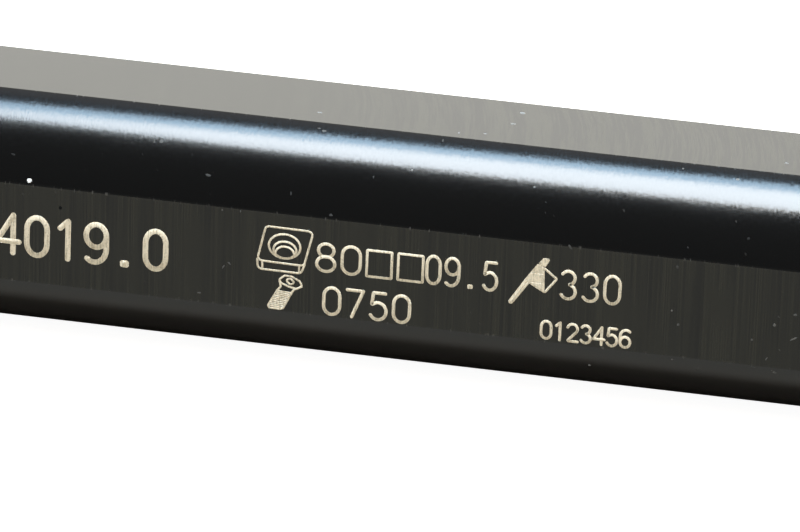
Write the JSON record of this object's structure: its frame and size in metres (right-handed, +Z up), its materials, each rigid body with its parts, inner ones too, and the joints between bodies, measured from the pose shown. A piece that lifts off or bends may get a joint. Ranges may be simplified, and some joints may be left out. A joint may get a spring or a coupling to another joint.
{
  "type": "boring bar",
  "caption": "Round steel boring bar with milled flats on its shank and a head that holds a screwed-on rhombic cutting insert, for turning inside a hole.",
  "frame": {"origin": "middle of the bottom flat, halfway between the cutting nose and the rear end face", "axes": "+X along the bar from the head to the rear end, +Z up, so that the bar lies on its bottom flat with the insert's top facing up and its nose towards -Y"},
  "size_m": [0.254, 0.0224, 0.0176],
  "materials": {
    "bar": "satin black oxide over finely milled steel",
    "insert": "satin grey sintered carbide with ground edges",
    "insert_screw": "satin dark hardened steel"
  },
  "bodies": {
    "root": {"bar": "bar", "insert": "insert", "insert_screw": "insert_screw"}
  },
  "joints": []
}
